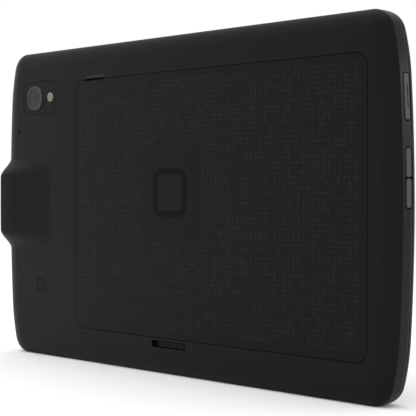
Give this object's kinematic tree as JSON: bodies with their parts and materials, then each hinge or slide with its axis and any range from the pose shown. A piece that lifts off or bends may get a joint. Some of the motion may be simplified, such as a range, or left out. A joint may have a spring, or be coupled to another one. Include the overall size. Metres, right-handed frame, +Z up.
{
  "type": "data collector tablet",
  "caption": "Rugged tablet data collector with removable battery cover, rear camera, side keys and a scan engine in a raised housing on its back.",
  "frame": {"origin": "centre of the bounding box's underside, on the surface the lower long edge stands on", "axes": "+X along the tablet towards the end with the keys, +Y towards the screen, +Z up"},
  "size_m": [0.228, 0.0176, 0.139],
  "materials": {
    "shell_black": "fine-grained moulded plastic",
    "frame_grey": "satin moulded plastic",
    "key_grey": "satin",
    "cover_weave": "woven texture",
    "glass_black": "polished, printed black from behind",
    "lens_glass": "coated",
    "ring_grey": "satin anodised",
    "flash_clear": "frosted",
    "screen": "smooth",
    "aluminium": "satin",
    "steel": "brushed",
    "board_green": "solder mask",
    "gold": "gold plated",
    "battery_black": "satin",
    "rubber": "matte",
    "scan_red": "dark red filter",
    "led_white": "diffusing"
  },
  "bodies": {
    "tablet": {"rear_housing": "shell_black", "side_frame": "frame_grey", "front_bezel": "shell_black", "touch_glass": "glass_black", "display_panel": "screen", "chassis_plate": "aluminium", "housing_seal": "rubber", "battery_connector": "rubber", "sim_card_socket": "steel", "memory_card_socket": "steel", "camera_window": "glass_black", "camera_ring": "ring_grey", "camera_lens": "lens_glass", "camera_module": "rubber", "flash_lens": "flash_clear", "flash_led": "led_white", "microphone": "aluminium", "scan_window": "scan_red", "scan_engine": "aluminium", "scan_lens": "lens_glass", "aimer_lens": "lens_glass", "illumination_led": "led_white", "power_switch": "steel", "volume_up_switch": "steel", "volume_down_switch": "steel", "side_key_board": "board_green", "scan_key_switch": "steel", "main_board": "board_green", "processor_shield": "steel", "clock_cell": "steel", "dock_connector": "rubber", "left_speaker": "rubber", "right_speaker": "rubber", "vibration_motor": "aluminium", "front_camera": "lens_glass", "antenna_strip": "gold", "housing_screw_1": "steel", "housing_screw_2": "steel", "housing_screw_3": "steel", "housing_screw_4": "steel", "housing_screw_5": "steel", "housing_screw_6": "steel", "housing_screw_7": "steel", "housing_screw_8": "steel", "dock_contact_1": "gold", "dock_contact_2": "gold", "dock_contact_3": "gold", "dock_contact_4": "gold", "dock_contact_5": "gold", "dock_contact_6": "gold"},
    "cover": {"battery_cover": "cover_weave"},
    "battery": {"battery_pack": "battery_black"},
    "latch": {"cover_latch_slider": "key_grey"},
    "power_key": {"power_button": "key_grey"},
    "volume_up_key": {"volume_up_button": "key_grey"},
    "volume_down_key": {"volume_down_button": "key_grey"},
    "scan_side_key": {"scan_key": "key_grey"}
  },
  "joints": [
    {"name": "cover_lift", "type": "slide", "parent": "tablet", "child": "cover", "axis": [0, -1, 0], "range_m": [0, 0.03]},
    {"name": "battery_lift", "type": "slide", "parent": "tablet", "child": "battery", "axis": [0, -1, 0], "range_m": [0, 0.018]},
    {"name": "latch_slide", "type": "slide", "parent": "tablet", "child": "latch", "axis": [-1, 0, 0], "range_m": [0, 0.0037]},
    {"name": "power_press", "type": "slide", "parent": "tablet", "child": "power_key", "axis": [-1, 0, 0], "range_m": [0, 0.0005], "stiffness_N_per_m": 5000, "springref_m": -0.0002},
    {"name": "volume_up_press", "type": "slide", "parent": "tablet", "child": "volume_up_key", "axis": [-1, 0, 0], "range_m": [0, 0.0005], "stiffness_N_per_m": 4400, "springref_m": -0.0002},
    {"name": "volume_down_press", "type": "slide", "parent": "tablet", "child": "volume_down_key", "axis": [-1, 0, 0], "range_m": [0, 0.0005], "stiffness_N_per_m": 4400, "springref_m": -0.0002},
    {"name": "scan_key_press", "type": "slide", "parent": "tablet", "child": "scan_side_key", "axis": [0, 0, -1], "range_m": [0, 0.0006], "stiffness_N_per_m": 3666.7, "springref_m": -0.0002}
  ],
  "couplings": [
    {"joint": "battery_lift", "follows": "cover_lift", "ratio": 0.6}
  ]
}
